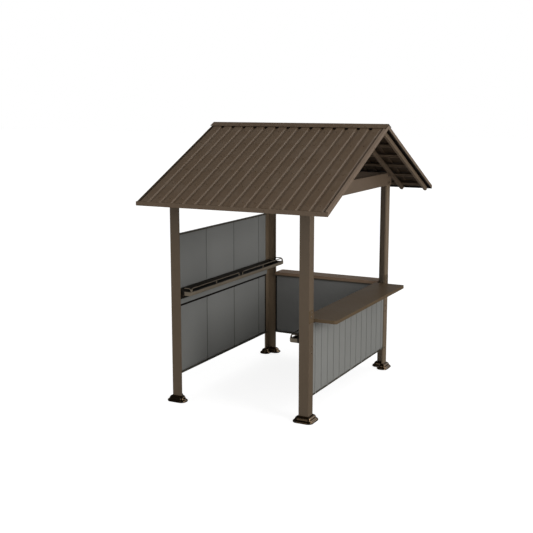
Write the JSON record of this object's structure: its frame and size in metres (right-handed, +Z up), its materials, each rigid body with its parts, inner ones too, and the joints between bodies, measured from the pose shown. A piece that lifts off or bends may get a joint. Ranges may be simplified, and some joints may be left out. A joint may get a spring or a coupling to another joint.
{
  "type": "grill gazebo",
  "caption": "Open steel grill gazebo: folded corner posts, steep grooved gable roof set off to the bar side, wind wall, low walls with counters, and hanging racks.",
  "frame": {"origin": "on the ground, at the middle of the rectangle over the outer faces of the four corner posts", "axes": "+X along the ridge towards the bar side, +Y from the open front to the low back wall, +Z up"},
  "size_m": [1.833, 2.74, 2.577],
  "materials": {
    "post_paint": "satin powder coat",
    "cover_paint": "gloss",
    "roof_paint": "satin",
    "trim_paint": "satin",
    "wall_paint": "satin",
    "counter_paint": "satin",
    "rack_paint": "satin",
    "edge_paint": "satin",
    "frame_paint": "satin powder coat"
  },
  "bodies": {
    "root": {"post_front_left": "post_paint", "post_front_right": "post_paint", "post_back_left": "post_paint", "post_back_right": "post_paint", "cover_front_left": "cover_paint", "cover_front_right": "cover_paint", "cover_back_left": "cover_paint", "cover_back_right": "cover_paint", "tie_beam_left": "frame_paint", "tie_beam_right": "frame_paint", "eave_beam_front": "frame_paint", "eave_beam_back": "frame_paint", "rafter_left_front": "frame_paint", "rafter_left_back": "frame_paint", "rafter_right_front": "frame_paint", "rafter_right_back": "frame_paint", "fly_rafter_front": "frame_paint", "fly_rafter_back": "frame_paint", "ridge_plate": "frame_paint", "purlins_front": "frame_paint", "purlins_back": "frame_paint", "roof_sheet_front": "roof_paint", "roof_sheet_back": "roof_paint", "ridge_cap": "roof_paint", "edge_trim_left": "trim_paint", "edge_trim_right": "trim_paint", "eave_trim_front": "trim_paint", "eave_trim_back": "trim_paint", "tall_wall_top_rail": "edge_paint", "tall_wall_mid_rail": "wall_paint", "tall_wall_bottom_rail": "edge_paint", "tall_wall_upper_sheet": "wall_paint", "tall_wall_lower_sheet": "wall_paint", "back_wall_top_rail": "edge_paint", "back_wall_bottom_rail": "edge_paint", "back_wall_sheet": "wall_paint", "bar_wall_top_rail": "edge_paint", "bar_wall_rack_rail": "frame_paint", "bar_wall_bottom_rail": "edge_paint", "bar_wall_sheet": "wall_paint", "bar_counter": "counter_paint", "back_counter": "counter_paint", "tall_wall_rack": "rack_paint", "bar_rack": "rack_paint"}
  },
  "joints": []
}
